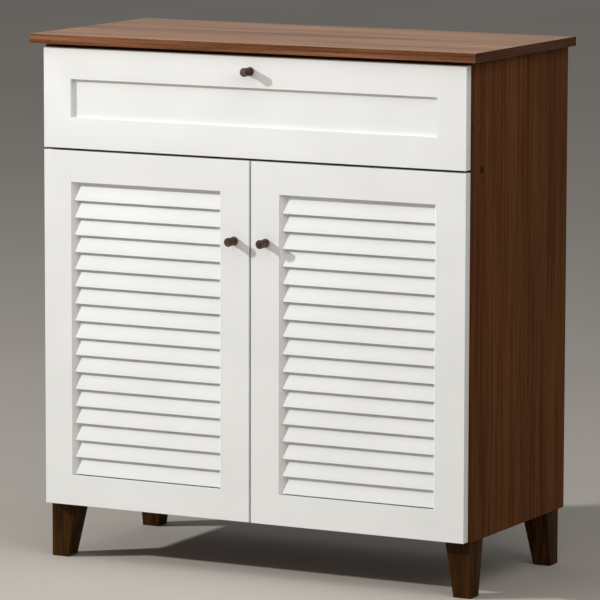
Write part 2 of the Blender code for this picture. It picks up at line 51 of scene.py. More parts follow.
BOARD_EDGE = 0.0005          # the trimmed band and face leave a hair of rounding
SIDE_DARK = "#512E17"
SIDE_MID = "#603A1E"
SIDE_LIGHT = "#6F4526"
SIDE_PORE = "#301A0D"
CAP_RADIUS = 0.0060
CAP_HEIGHT = 0.0005
CAP_FROM_FRONT = 0.028
SAME_PLACE = 0.00002         # corners closer than this are one corner
FLAT_ANGLE = math.radians(1)     # faces that meet at less are one flat face
SHARP_ANGLE = math.radians(35)   # an edge that turns more is drawn crisp
EASED_ANGLE = math.radians(28)   # an edge that turns more is rounded over
SQUARE_ON = 0.9              # how squarely a face must look along an axis to count as facing it
RAW_BACK, BAND = 2, 1        # a faced board's finishes, after its printed face
DISC_PROFILE = ((1.0, 0.0), (1.0, 0.5), (0.93, 0.85), (0.80, 1.0))   # radius, height
MIX_FACTOR, MIX_FIRST, MIX_SECOND, MIX_RESULT = 0, 6, 7, 2   # a colour mix's own sockets


def linear(hex_colour):
    """An sRGB hex colour as the linear RGBA that a shader takes."""
    parts = [int(hex_colour[i:i + 2], 16) / 255 for i in (1, 3, 5)]
    return (*[v / 12.92 if v <= 0.04045 else ((v + 0.055) / 1.055) ** 2.4 for v in parts], 1.0)


def add(tree, kind, inputs=None, stops=None, **settings):
    """Add one node: its settings, a value or a link for each input, and a ramp's colour stops."""
    node = tree.nodes.new(kind)
    for name, value in settings.items():
        setattr(node, name, value)
    for name, value in (inputs or {}).items():
        if isinstance(value, bpy.types.Node):
            value = value.outputs[0]
        if isinstance(value, bpy.types.NodeSocket):
            tree.links.new(value, node.inputs[name])
        else:
            node.inputs[name].default_value = value
    if stops:
        marks = node.color_ramp.elements
        while len(marks) < len(stops):
            marks.new(0.5)
        for mark, (position, shade) in zip(marks, stops):
            mark.position = position
            mark.color = linear(shade) if isinstance(shade, str) else (shade, shade, shade, 1.0)
    return node


def new_finish(name, **sockets):
    """A material whose shader has its even values set on its own sockets."""
    material = bpy.data.materials.new(name)
    material.use_nodes = True
    shader = material.node_tree.nodes["Principled BSDF"]
    for socket, value in sockets.items():
        shader.inputs[socket.replace("_", " ")].default_value = value
    return material, material.node_tree, shader


def speckle(tree, size_mm, detail=2.0, along=None, length_mm=None, seed=0.0):
    """Noise with marks of a real size; with `along`, they are drawn out to a length on that axis."""
    across = 1000.0 / size_mm
    scale = [across, across, across]
    if along:
        scale["XYZ".index(along)] = 1000.0 / length_mm
    place = add(tree, "ShaderNodeTexCoord").outputs["Object"]
    spread = add(tree, "ShaderNodeMapping", {"Vector": place, "Scale": scale,
                                             "Location": (seed, seed * 1.7, seed * 0.6)})
    return add(tree, "ShaderNodeTexNoise", {"Vector": spread, "Scale": 1.0, "Detail": detail,
                                            "Roughness": 0.55})


def walnut_melamine(name, grain, dark, middle, light, pore, seed, gloss=0.54, specular=0.03):
    """Melamine paper printed with flat-sawn walnut and pressed on a satin plate.

    It gives the eye slow bands, finer streaks and thin dark lines along the grain, all flat, with
    only the pores pressed in.  Real pores are 0.3 mm wide and are drawn 1.1 mm wide, to show.
    """
    material, tree, shader = new_finish(name, IOR=1.5, Specular_IOR_Level=specular)
    bands = speckle(tree, 46, 2.0, grain, 900, seed)
    streaks = speckle(tree, 8, 3.0, grain, 330, seed + 3)
    lines = speckle(tree, 2.4, 2.0, grain, 150, seed + 5)
    pores = speckle(tree, 1.1, 1.0, grain, 17, seed + 9)
    both = add(tree, "ShaderNodeMix", {"Factor": 0.66, "A": bands, "B": streaks})
    colour = add(tree, "ShaderNodeValToRGB", {"Fac": both},
                 stops=[(0.38, dark), (0.50, middle), (0.63, light)])
    line_shade = add(tree, "ShaderNodeValToRGB", {"Fac": lines}, stops=[(0.34, 0.66), (0.52, 1.0)])
    lined = add(tree, "ShaderNodeMix", {MIX_FACTOR: 0.75, MIX_FIRST: colour,
                                         MIX_SECOND: line_shade},
                data_type="RGBA", blend_type="MULTIPLY")
    pore_mask = add(tree, "ShaderNodeValToRGB", {"Fac": pores}, stops=[(0.63, 0.0), (0.74, 0.8)])
    printed = add(tree, "ShaderNodeMix", {MIX_FACTOR: pore_mask,
                                           MIX_FIRST: lined.outputs[MIX_RESULT],
                                           MIX_SECOND: linear(pore)}, data_type="RGBA")
    rough = add(tree, "ShaderNodeValToRGB", {"Fac": streaks},
                stops=[(0.30, gloss - 0.04), (0.70, gloss + 0.07)])
    pressed = add(tree, "ShaderNodeBump", {"Height": pore_mask, "Strength": 0.3,
                                           "Distance": 0.0002}, invert=True)
    tree.links.new(printed.outputs[MIX_RESULT], shader.inputs["Base Color"])
    tree.links.new(rough.outputs[0], shader.inputs["Roughness"])
    tree.links.new(pressed.outputs[0], shader.inputs["Normal"])
    return material


def raw_chipboard():
    """Sawn chipboard core: glued flakes of many browns, dull and slightly torn."""
    material, tree, shader = new_finish("sawn_chipboard", Roughness=0.85, IOR=1.4)
    place = add(tree, "ShaderNodeTexCoord").outputs["Object"]
    flakes = add(tree, "ShaderNodeTexVoronoi", {"Vector": place, "Scale": 1000.0 / 2.2})
    colour = add(tree, "ShaderNodeValToRGB", {"Fac": flakes.outputs["Color"]},
                 stops=[(0.15, "#6E5236"), (0.5, "#9C7C57"), (0.85, "#BFA27B")])
    torn = add(tree, "ShaderNodeBump", {"Height": flakes.outputs["Distance"], "Strength": 0.5,
                                        "Distance": 0.0004})
    tree.links.new(colour.outputs[0], shader.inputs["Base Color"])
    tree.links.new(torn.outputs[0], shader.inputs["Normal"])
    return material


def make_piece(name, work, *finishes):
    """An object at the origin from a bmesh that is already in place, smooth but for its edges."""
    mesh = bpy.data.meshes.new(name)
    work.to_mesh(mesh)
    work.free()
    for finish in finishes:
        mesh.materials.append(finish)
    mesh.shade_smooth()
    mesh.set_sharp_from_angle(angle=SHARP_ANGLE)
    piece = bpy.data.objects.new(name, mesh)
    bpy.context.scene.collection.objects.link(piece)
    return piece


def baked(piece):
    """Make a piece's modifiers part of its mesh."""
    bpy.context.view_layer.update()
    shape = piece.evaluated_get(bpy.context.evaluated_depsgraph_get())
    made = bpy.data.meshes.new_from_object(shape)
    piece.modifiers.clear()
    piece.data = made
    return piece


def eased(piece, edge, segments=2):
    """Round a piece's sharp edges, as sanding or trimming does, and keep its flats flat."""
    piece.data.shade_smooth()
    bevel = piece.modifiers.new("eased_edges", "BEVEL")
    bevel.width = edge
    bevel.segments = segments
    bevel.limit_method = "ANGLE"
    bevel.angle_limit = EASED_ANGLE
    bevel.harden_normals = True
    return baked(piece)


def copy_of(node):
    """A CAD node's solid as a bmesh of whole faces."""
    work = bmesh.new()
    work.from_mesh(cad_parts[node].data)
    bmesh.ops.remove_doubles(work, verts=work.verts, dist=SAME_PLACE)
    bmesh.ops.dissolve_limit(work, angle_limit=FLAT_ANGLE, verts=work.verts, edges=work.edges)
    return work


def settle(piece, body, slot, *nodes):
    """Fix a finished piece to its body, and let it stand for its CAD nodes by hiding them. The
    finish name `slot` is not used.
    """
    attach(piece, body)
    if nodes:
        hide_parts(*nodes)
    return piece


def faced_board(name, node, face, band, raw, thin, edge=BOARD_EDGE):
    """A melamine board: printed faces across its `thin` axis, banded edges and a raw back edge."""
    piece = eased(make_piece(name, copy_of(node), face, band, raw), edge)
    back = max(corner.co.y for corner in piece.data.vertices)
    for side in piece.data.polygons:
        if side.normal.y > SQUARE_ON and side.center.y > back - edge:
            side.material_index = RAW_BACK
        elif abs(side.normal["XYZ".index(thin)]) < SQUARE_ON:
            side.material_index = BAND
    return piece


side_face = walnut_melamine("walnut_melamine_side", "Z", SIDE_DARK, SIDE_MID, SIDE_LIGHT,
                            SIDE_PORE, seed=0.0)
side_band = walnut_melamine("walnut_band_side", "Z", SIDE_DARK, SIDE_MID, SIDE_LIGHT, SIDE_PORE,
                            seed=2.0)
chipboard = raw_chipboard()
cap_plastic, tree, shader = new_finish("brown_cap_foil", Roughness=0.6, Specular_IOR_Level=0.05)
cap_shade = add(tree, "ShaderNodeValToRGB", {"Fac": speckle(tree, 2.0)},
                stops=[(0.3, "#35150B"), (0.7, "#43200F")])
tree.links.new(cap_shade.outputs[0], shader.inputs["Base Color"])


def stacked(levels, centre, axis):
    """A closed bmesh through a stack of rings, standing on `centre` and facing along `axis`.

    Each level is the list of its corners' radii and its height.
    """
    work = bmesh.new()
    rings = []
    for radii, height in levels:
        steps = len(radii)
        rings.append([work.verts.new((reach * math.cos(2 * math.pi * i / steps),
                                      reach * math.sin(2 * math.pi * i / steps),
                                      height)) for i, reach in enumerate(radii)])
    for lower, upper in zip(rings, rings[1:]):
        for i in range(steps):
            j = (i + 1) % steps
            work.faces.new((lower[i], lower[j], upper[j], upper[i]))
    work.faces.new(list(reversed(rings[0])))
    work.faces.new(rings[-1])
    turn = Vector((0, 0, 1)).rotation_difference(Vector(axis)).to_matrix().to_4x4()
    bmesh.ops.transform(work, verts=work.verts, matrix=Matrix.Translation(centre) @ turn)
    return work


def domed_disc(centre, axis, radius, height, steps=28):
    """A bmesh disc with a softly rounded rim, standing on `centre` and facing along `axis`."""
    return stacked([([radius * share] * steps, height * rise) for share, rise in DISC_PROFILE],
                   centre, axis)


SIDES = (("left", -1), ("right", 1))
deck_low, deck_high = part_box("drawer_deck")
for side, sign in SIDES:
    node = side + "_side_panel"
    settle(faced_board(side + "_side", node, side_face, side_band, chipboard, "X"), "carcass",
           "walnut_laminate", node)
    low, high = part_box(node)
    outer_x = high.x if sign > 0 else low.x
    spot = (outer_x, low.y + CAP_FROM_FRONT, (deck_low.z + deck_high.z) / 2)
    cap = make_piece(side + "_screw_cap", domed_disc(spot, (sign, 0, 0), CAP_RADIUS, CAP_HEIGHT),
                     cap_plastic)
    settle(cap, "carcass", "walnut_laminate")


# ---- Bottom, deck, rails and shelves -----------------------------------------------------------
# Cut from the same faced board, with the grain across the cabinet.  The bottom, the drawer deck
# and the two rails are screwed between the sides; the two shelves lie loose on their pins.

flat_face = walnut_melamine("walnut_melamine_flat", "X", SIDE_DARK, SIDE_MID, SIDE_LIGHT,
                            SIDE_PORE, seed=4.0)
flat_band = walnut_melamine("walnut_band_flat", "X", SIDE_DARK, SIDE_MID, SIDE_LIGHT, SIDE_PORE,
                            seed=6.0)
for node in ("bottom_panel", "drawer_deck", "front_top_rail", "rear_top_rail", "lower_shelf",
             "upper_shelf"):
    settle(faced_board(node + "_board", node, flat_face, flat_band, chipboard, "Z"), "carcass",
           "walnut_laminate", node)


# ---- Back board and its nails ------------------------------------------------------------------
# A sheet of 3 mm hardboard slid down the grooves in the sides and pinned with small round nails
# to the bottom, the deck and the rear rail.  Its show face is smooth and brown, with fine fibres.

HARDBOARD = "#7E5C3F"
HARDBOARD_DARK = "#694A31"
BACK_EDGE = 0.0003
NAIL_HEAD = 0.0017
NAIL_RISE = 0.0006
NAIL_PITCH = 0.118
NAIL_FROM_END = 0.022
NAIL_STEPS = 12              # corners round a nail head


def hardboard():
    """Wet-pressed wood fibre: a soft mottle 18 mm across, with fibres 1.2 mm across over it."""
    material, tree, shader = new_finish("pressed_hardboard", Roughness=0.68, IOR=1.45)
    mottle = speckle(tree, 18, 4.0)
    fibre = speckle(tree, 1.2, 2.0, seed=3.0)
    colour = add(tree, "ShaderNodeValToRGB", {"Fac": mottle},
                 stops=[(0.35, HARDBOARD_DARK), (0.65, HARDBOARD)])
    shade = add(tree, "ShaderNodeValToRGB", {"Fac": fibre}, stops=[(0.3, 0.72), (0.7, 1.0)])
    mixed = add(tree, "ShaderNodeMix", {MIX_FACTOR: 0.6, MIX_FIRST: colour, MIX_SECOND: shade},
                data_type="RGBA", blend_type="MULTIPLY")
    rise = add(tree, "ShaderNodeBump", {"Height": fibre, "Strength": 0.3, "Distance": 0.0002})
    tree.links.new(mixed.outputs[MIX_RESULT], shader.inputs["Base Color"])
    tree.links.new(rise.outputs[0], shader.inputs["Normal"])
    return material


def plated_steel(name, tint, roughness):
    """Nickel-plated pressed steel: bright, with faint handling marks that dull it in patches."""
    material, tree, shader = new_finish(name, Metallic=1.0)
    haze = speckle(tree, 6.0, 3.0)
    colour = add(tree, "ShaderNodeValToRGB", {"Fac": haze},
                 stops=[(0.3, tint), (0.7, "#C9C8C6")])
    rough = add(tree, "ShaderNodeValToRGB", {"Fac": haze},
                stops=[(0.3, roughness - 0.06), (0.7, roughness + 0.08)])
    tree.links.new(colour.outputs[0], shader.inputs["Base Color"])
    tree.links.new(rough.outputs[0], shader.inputs["Roughness"])
    return material


def row_tree():
    """Geometry nodes that repeat a piece's own shape in a row, and give it its material."""
    tree = bpy.data.node_groups.new("row_of_fixings", "GeometryNodeTree")
    for name, kind in (("Geometry", "Geometry"), ("Count", "Int"), ("Step", "Vector"),
                       ("Material", "Material")):
        tree.interface.new_socket(name, in_out="INPUT", socket_type="NodeSocket" + kind)
    tree.interface.new_socket("Geometry", in_out="OUTPUT", socket_type="NodeSocketGeometry")
    given = add(tree, "NodeGroupInput").outputs
    line = add(tree, "GeometryNodeMeshLine", {"Count": given["Count"], "Offset": given["Step"]})
    copies = add(tree, "GeometryNodeInstanceOnPoints", {"Points": line,
                                                        "Instance": given["Geometry"]})
    solid = add(tree, "GeometryNodeRealizeInstances", {"Geometry": copies})
    painted = add(tree, "GeometryNodeSetMaterial", {"Geometry": solid,
                                                    "Material": given["Material"]})
    add(tree, "NodeGroupOutput", {"Geometry": painted})
    return tree


def run_nodes(piece, tree, **values):
    """Give a piece a tree of geometry nodes with its inputs set, and keep the mesh it makes."""
    change = piece.modifiers.new(tree.name, "NODES")
    change.node_group = tree
    for item in tree.interface.items_tree:
        if item.in_out == "INPUT" and item.name.replace(" ", "_") in values:
            change[item.identifier] = values[item.name.replace(" ", "_")]
    return baked(piece)


ROW = row_tree()
low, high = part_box("back_panel")
back_board = eased(make_piece("back_board", copy_of("back_panel"), hardboard()),
                   BACK_EDGE)
settle(back_board, "carcass", "back_board", "back_panel")

nail_steel = plated_steel("bright_nail_steel", "#8E8C88", 0.42)
nail_count = int((high.x - low.x - 2 * NAIL_FROM_END) // NAIL_PITCH) + 1
first_x = -(nail_count - 1) * NAIL_PITCH / 2
for node in ("bottom_panel", "drawer_deck", "rear_top_rail"):
    board_low, board_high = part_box(node)
    spot = (first_x, high.y, (board_low.z + board_high.z) / 2)
    nails = make_piece(node + "_nails", domed_disc(spot, (0, 1, 0), NAIL_HEAD, NAIL_RISE,
                                                   NAIL_STEPS))
    run_nodes(nails, ROW, Count=nail_count, Step=(NAIL_PITCH, 0, 0), Material=nail_steel)
    settle(nails, "carcass", "plated_steel")


# ---- Top board ---------------------------------------------------------------------------------
# A 15 mm faced board that overhangs the sides and the fronts, screwed down from the rails.  Its
# print runs across the cabinet.  It is the sides' walnut, drawn as lit and shaded copies: the face
# is lighter, as painted light from above and painted sheen; the front band is lighter and redder,
# as painted light from the front lamp; the end bands are darker and greyer, as painted shade.

# Painted light: the face's colours are the side walnut made lighter, for light from above and sheen.
LIT_TOP_DARK = "#7E583E"
LIT_TOP_MID = "#A67B5D"
LIT_TOP_LIGHT = "#C29878"
# Painted light: the front band's colours are the side walnut made lighter and redder, for the front
# lamp.
LIT_FRONT_BAND_DARK = "#5A3521"
LIT_FRONT_BAND_MID = "#754B31"
LIT_FRONT_BAND_LIGHT = "#936147"
# Painted shade: the end bands' colours are the side walnut made darker and greyer.
SHADED_END_DARK = "#3F281B"
SHADED_END_MID = "#4E3325"
SHADED_END_LIGHT = "#5E4030"
# Painted light: the pores of the face and front band are lighter than the sides' pores.
LIT_TOP_PORE = "#432817"
END_FACING = 0.7             # how squarely a face must look sideways to take the painted-shade end band
SHADED_END_BAND = 3                 # the painted-shade end band, after the three finishes of a faced board

# Lit and shaded copies of one walnut print: painted light on the face and front band, painted shade
# on the ends.
lit_top_face = walnut_melamine("walnut_melamine_top", "X", LIT_TOP_DARK, LIT_TOP_MID, LIT_TOP_LIGHT, LIT_TOP_PORE,
                           seed=8.0, gloss=0.40, specular=0.5)
lit_front_band = walnut_melamine("walnut_band_top", "X", LIT_FRONT_BAND_DARK, LIT_FRONT_BAND_MID, LIT_FRONT_BAND_LIGHT, LIT_TOP_PORE,
                           seed=11.0)
shaded_end_band = walnut_melamine("walnut_band_top_end", "Y", SHADED_END_DARK, SHADED_END_MID, SHADED_END_LIGHT, SIDE_PORE,
                           seed=13.0)
top_board = faced_board("top_board", "top_panel", lit_top_face, lit_front_band, chipboard, "Z")
top_board.data.materials.append(shaded_end_band)
# Sideways faces take the painted-shade copy.
for side in top_board.data.polygons:
    if abs(side.normal.x) > END_FACING:
        side.material_index = SHADED_END_BAND
settle(top_board, "carcass", "walnut_laminate", "top_panel")


# ---- Legs, leg plates and glides ---------------------------------------------------------------
# Each leg is solid hardwood, plumb on its two outer faces and tapered on its two inner ones,
# stained dark walnut and lacquered.  A steel plate screwed under the bottom panel holds its bolt,
# and a thin nylon glide is nailed under its foot.

LEG_EDGE = 0.0013
GLIDE_RADIUS = 0.0100
GLIDE_HEIGHT = 0.0012
PLATE_SCREW_RADIUS = 0.0032
PLATE_SCREW_RISE = 0.0010
PLATE_SCREW_IN = 0.0050
PRESSED_EDGE = 0.0004
HEAD_PROFILE = ((1.0, 0.0), (1.0, 0.45), (0.86, 0.80), (0.58, 1.0))   # radius, height
CROSS_TIP = 0.48             # the cross recess, in shares of the head's radius
CROSS_ROOT = 0.16
CROSS_FLOOR = 0.25           # its floor, in a share of the head's height


def stained_wood(name, grain, dark, middle, light, gloss=0.42):
    """Beech stained dark walnut under satin lacquer.

    It gives the eye growth bands 7 mm across, fibres along the grain (real ones are 0.2 mm across
    and are drawn 1.3 mm) and open pores that stay matt in the lacquer.
    """
    material, tree, shader = new_finish(name, IOR=1.5, Specular_IOR_Level=0.06)
    rings = speckle(tree, 7, 3.0, grain, 130)
    fibres = speckle(tree, 1.3, 3.0, grain, 45, seed=2.0)
    colour = add(tree, "ShaderNodeValToRGB", {"Fac": rings},
                 stops=[(0.36, dark), (0.5, middle), (0.65, light)])
    shade = add(tree, "ShaderNodeValToRGB", {"Fac": fibres}, stops=[(0.32, 0.74), (0.62, 1.0)])
    mixed = add(tree, "ShaderNodeMix", {MIX_FACTOR: 0.65, MIX_FIRST: colour, MIX_SECOND: shade},
                data_type="RGBA", blend_type="MULTIPLY")
    rough = add(tree, "ShaderNodeValToRGB", {"Fac": fibres},
                stops=[(0.3, gloss + 0.12), (0.7, gloss - 0.02)])
    pores = add(tree, "ShaderNodeBump", {"Height": fibres, "Strength": 0.25, "Distance": 0.0003})
    tree.links.new(mixed.outputs[MIX_RESULT], shader.inputs["Base Color"])
    tree.links.new(rough.outputs[0], shader.inputs["Roughness"])
    tree.links.new(pores.outputs[0], shader.inputs["Normal"])
    return material


def moulded_nylon(name, dark, light):
    """Moulded nylon: an even satin skin with a faint cloud and fine mould grain."""
    material, tree, shader = new_finish(name, IOR=1.53)
    cloud = speckle(tree, 5.0, 2.0)
    colour = add(tree, "ShaderNodeValToRGB", {"Fac": cloud}, stops=[(0.3, dark), (0.7, light)])
    rough = add(tree, "ShaderNodeValToRGB", {"Fac": cloud}, stops=[(0.3, 0.42), (0.7, 0.54)])
    skin = add(tree, "ShaderNodeBump", {"Height": speckle(tree, 0.8, 1.0, seed=4.0),
                                        "Strength": 0.15, "Distance": 0.0001})
    tree.links.new(colour.outputs[0], shader.inputs["Base Color"])
    tree.links.new(rough.outputs[0], shader.inputs["Roughness"])
    tree.links.new(skin.outputs[0], shader.inputs["Normal"])
    return material


def cross_head(centre, axis, radius, height, steps=24):
    """A bmesh pan-head screw: a low dome with a cross recess pressed in it."""
    dome = [([radius * share] * steps, height * rise) for share, rise in HEAD_PROFILE]
    arm = steps // 4
    cross = [radius * (CROSS_TIP if i % arm in (0, 1, arm - 1) else CROSS_ROOT)
             for i in range(steps)]
    return stacked(dome + [(cross, height), (cross, height * CROSS_FLOOR)], centre, axis)


def screw_row(name, body, centre, axis, radius, height, count, step):
    """A row of screws, one mesh, fixed to one body."""
    heads = make_piece(name, cross_head(centre, axis, radius, height))
    run_nodes(heads, ROW, Count=count, Step=step, Material=screw_steel)
    return settle(heads, body, "plated_steel")


leg_wood = stained_wood("stained_beech_leg", "Z", "#2A1809", "#3A2309", "#4B2E0F")
glide_nylon = moulded_nylon("brown_nylon_glide", "#1F1712", "#2C211A")
screw_steel = plated_steel("plated_screw_steel", "#98958F", 0.34)
pressed_steel = plated_steel("plated_pressed_steel", "#A5A29C", 0.30)
for end, back in (("front", -1), ("rear", 1)):
    for side, sign in SIDES:
        name = f"{end}_{side}_leg"
        settle(eased(make_piece(name + "_turned_out", copy_of(name), leg_wood), LEG_EDGE, 3),
               "carcass", "dark_wood", name)
        low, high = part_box(name)
        foot = [corner.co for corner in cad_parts[name].data.vertices
                if corner.co.z < (low.z + high.z) / 2]
        centre = Vector([(min(v[i] for v in foot) + max(v[i] for v in foot)) / 2
                         for i in range(3)])
        glide = make_piece(name + "_glide", domed_disc(centre + Vector((0, 0, GLIDE_HEIGHT)),
                                                       (0, 0, -1), GLIDE_RADIUS, GLIDE_HEIGHT),
                           glide_nylon)
        settle(glide, "carcass", "nylon")

        plate = name + "_plate"
        settle(eased(make_piece(plate + "_pressing", copy_of(plate), pressed_steel),
                     PRESSED_EDGE), "carcass", "plated_steel", plate)
        plate_low, plate_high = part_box(plate)
        inner_x = plate_low.x if sign > 0 else plate_high.x
        inner_y = plate_low.y if back > 0 else plate_high.y
        corner = Vector((inner_x + sign * PLATE_SCREW_IN, inner_y + back * PLATE_SCREW_IN,
                         plate_low.z))
        reach = high.y - low.y
        screw_row(plate + "_screws_in", "carcass", corner, (0, 0, -1), PLATE_SCREW_RADIUS,
                  PLATE_SCREW_RISE, 2, (0, back * reach, 0))
        screw_row(plate + "_screws_out", "carcass", corner + Vector((sign * reach, 0, 0)),
                  (0, 0, -1), PLATE_SCREW_RADIUS, PLATE_SCREW_RISE, 1, (0, 0, 0))


# ---- Shelf pins --------------------------------------------------------------------------------
# Four nickel-plated steel pins under each shelf, pushed into drilled holes up to their collars.
# Each shelf only lies on its pins, so it lifts out.

PIN_EDGE = 0.0003

for side, sign in SIDES:
    for level in ("lower", "upper"):
        for end in ("front", "rear"):
            node = f"{side}_{level}_{end}_shelf_pin"
            pin = eased(make_piece(node + "_peg", copy_of(node), pressed_steel), PIN_EDGE)
            settle(pin, "carcass", "plated_steel", node)


# ---- Drawer runners and rollers ----------------------------------------------------------------
# A folded steel channel on each side panel and a flanged strip on each drawer side, both coated
# with white epoxy powder.  A nylon roller turns on a stub at the front of the channel, and another
# at the back of the strip.

SHEET_EDGE = 0.0003
RUNNER_SHEET = 0.0012
TYRE_EDGE = 0.0006
RUNNER_SCREW_RADIUS = 0.0034
RUNNER_SCREW_RISE = 0.0012
RUNNER_SCREWS = 3


def powder_coat(name, dark, light):
    """White epoxy powder baked on steel: even, slightly pebbled at 1.5 mm, with a soft gloss."""
    material, tree, shader = new_finish(name, IOR=1.5)
    pebble = speckle(tree, 1.5, 2.0)
    colour = add(tree, "ShaderNodeValToRGB", {"Fac": speckle(tree, 30, 2.0, seed=5.0)},
                 stops=[(0.3, dark), (0.7, light)])
    rough = add(tree, "ShaderNodeValToRGB", {"Fac": pebble}, stops=[(0.3, 0.30), (0.7, 0.42)])
    skin = add(tree, "ShaderNodeBump", {"Height": pebble, "Strength": 0.12, "Distance": 0.0002})
    tree.links.new(colour.outputs[0], shader.inputs["Base Color"])
    tree.links.new(rough.outputs[0], shader.inputs["Roughness"])
    tree.links.new(skin.outputs[0], shader.inputs["Normal"])
    return material


runner_coat = powder_coat("white_epoxy_coat", "#D4D3CE", "#DEDDD8")
roller_nylon = moulded_nylon("white_nylon_roller", "#CFCDC5", "#DAD8D0")
for side, sign in SIDES:
    for owner, body in (("cabinet", "carcass"), ("drawer", "drawer")):
        node = f"{owner}_{side}_runner"
        settle(eased(make_piece(node + "_rail", copy_of(node), runner_coat), SHEET_EDGE), body,
               "white_enamel", node)
        wheel = f"{owner}_{side}_roller"
        settle(eased(make_piece(wheel + "_tyre", copy_of(wheel), roller_nylon), TYRE_EDGE, 3),
               f"{owner}_{side}_wheel", "nylon", wheel)
    low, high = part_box(f"cabinet_{side}_runner")
    web_x = high.x if sign > 0 else low.x
    first = Vector((web_x - sign * RUNNER_SHEET, low.y + (high.y - low.y) / RUNNER_SCREWS / 2,
                    (low.z + high.z) / 2))
    screw_row(f"{side}_runner_screws", "carcass", first, (-sign, 0, 0), RUNNER_SCREW_RADIUS,
              RUNNER_SCREW_RISE, RUNNER_SCREWS, (0, (high.y - low.y) / RUNNER_SCREWS, 0))


# ---- Drawer box --------------------------------------------------------------------------------
# Two grooved sides and a back of 12 mm board wrapped in white foil, with a thin white floor slid
# into the grooves.

FOIL_EDGE = 0.0006

foil, tree, shader = new_finish("white_foil_wrap", IOR=1.46)
foil_tone = add(tree, "ShaderNodeValToRGB", {"Fac": speckle(tree, 40, 2.0)},
                stops=[(0.3, "#D9D7D0"), (0.7, "#E2E0DA")])
foil_rough = add(tree, "ShaderNodeValToRGB", {"Fac": speckle(tree, 3, 2.0, seed=2.0)},
                 stops=[(0.3, 0.46), (0.7, 0.56)])
foil_grain = add(tree, "ShaderNodeBump", {"Height": speckle(tree, 1.2, 1.0, "Y", 12, 3.0),
                                          "Strength": 0.12, "Distance": 0.0002})
tree.links.new(foil_tone.outputs[0], shader.inputs["Base Color"])
tree.links.new(foil_rough.outputs[0], shader.inputs["Roughness"])
tree.links.new(foil_grain.outputs[0], shader.inputs["Normal"])
for node in ("drawer_left_side", "drawer_right_side", "drawer_back", "drawer_floor"):
    settle(eased(make_piece(node + "_board", copy_of(node), foil), FOIL_EDGE), "drawer",
           "white_laminate", node)


# ---- Drawer front and door frames --------------------------------------------------------------
# 16 mm fibreboard, routed in one piece and sprayed with warm white satin lacquer.  The drawer front
# has a sunk panel with sloping sides.  Sanding has eased the routed arrises, and the spray leaves
# a faint orange peel.

PAINT_EDGE = 0.0005


def sprayed_lacquer():
    """Satin acrylic lacquer on fibreboard: a slow cloud in tone and gloss, and an orange peel of
    ripples 1.5 mm across, drawn 3 mm across to show."""
    material, tree, shader = new_finish("white_satin_lacquer", IOR=1.48, Specular_IOR_Level=0.4)
    tone = add(tree, "ShaderNodeValToRGB", {"Fac": speckle(tree, 150, 2.0)},
               stops=[(0.35, "#E9EAE9"), (0.65, "#EDEEED")])
    gloss = add(tree, "ShaderNodeValToRGB", {"Fac": speckle(tree, 40, 2.0, seed=3.0)},
                stops=[(0.3, 0.36), (0.7, 0.44)])
    peel = add(tree, "ShaderNodeBump", {"Height": speckle(tree, 3.0, 1.0, seed=6.0),
                                        "Strength": 0.05, "Distance": 0.0002})
    tree.links.new(tone.outputs[0], shader.inputs["Base Color"])
    tree.links.new(gloss.outputs[0], shader.inputs["Roughness"])
    tree.links.new(peel.outputs[0], shader.inputs["Normal"])
    return material


lacquer = sprayed_lacquer()
for node, body in (("drawer_front", "drawer"), ("left_door_frame", "left_door"),
                   ("right_door_frame", "right_door")):
    settle(eased(make_piece(node + "_routed", copy_of(node), lacquer), PAINT_EDGE, 3), body,
           "white_paint", node)


# ---- Louvres -----------------------------------------------------------------------------------
# Seventeen thin slats in each door, leaning back as they rise, so that air passes and nothing shows
# through.  Their ends are glued into two sloping cheeks, and all is sprayed with the frame.

SLATS = 17
SLAT_HEIGHT = 0.0302
SLAT_THICKNESS = 0.0042      # front to back
SLAT_SETBACK = 0.0029        # the lower front edge behind the door's face
SLAT_SLOPE = math.radians(15)
SLAT_BOTTOM_GAP = 0.0015
SLAT_EDGE = 0.0008
LEFT_CHEEK = 0.0105          # how far each cheek slopes in, as deep as it is wide
RIGHT_CHEEK = 0.0030
CHEEK_EDGE = 0.0003
CORNER_STEPS = 4             # corners round each rounded edge of a slat


